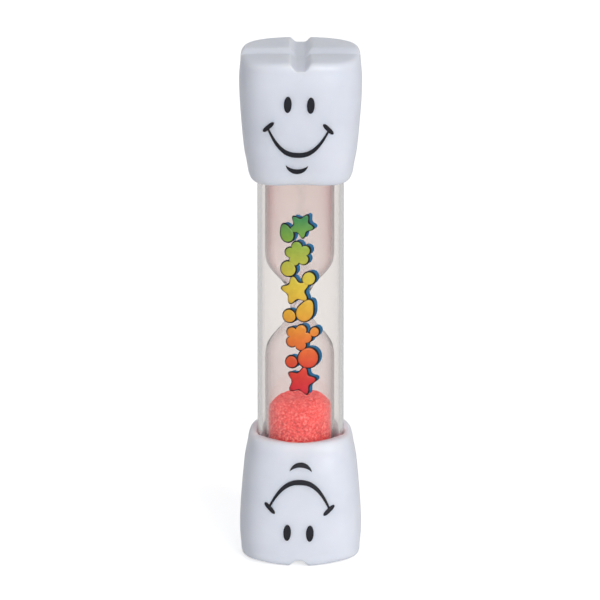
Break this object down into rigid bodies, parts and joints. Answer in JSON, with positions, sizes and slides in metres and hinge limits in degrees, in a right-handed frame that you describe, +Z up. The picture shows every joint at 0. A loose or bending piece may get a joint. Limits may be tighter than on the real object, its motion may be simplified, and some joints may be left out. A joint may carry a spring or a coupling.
{
  "type": "sand timer",
  "caption": "Small sand timer: a sealed waisted glass with red sand in a clear tube, standing on rounded square tooth-shaped caps and usable either way up.",
  "frame": {"origin": "centre of the footprint, on the surface the lower cap stands on", "axes": "+Z up along the glass, -Y towards the printed front, +X to the right seen from the front"},
  "size_m": [0.0212, 0.0212, 0.09],
  "materials": {
    "white_plastic": "smooth moulded gloss",
    "clear_plastic": "clear, polished",
    "bulb_glass": "clear, faintly pink with sand dust inside",
    "coral_sand": "fine dry grains",
    "foam": "matt foam",
    "stopper_rubber": "matt",
    "glue": "set adhesive",
    "face_ink": "printed ink, satin black",
    "print_ink": "printed inks in rainbow order with dark outlines"
  },
  "bodies": {
    "case": {"lower_cap": "white_plastic", "upper_cap": "white_plastic", "outer_tube": "clear_plastic", "lower_glue_ring": "glue", "upper_glue_ring": "glue", "lower_pad": "foam", "upper_pad": "foam", "glass_vial": "bulb_glass", "vial_stopper": "stopper_rubber"},
    "sand_charge": {"sand": "coral_sand"}
  },
  "joints": [
    {"name": "sand_drop", "type": "slide", "parent": "case", "child": "sand_charge", "axis": [0, 0, 1], "range_m": [0, 0.009]}
  ]
}
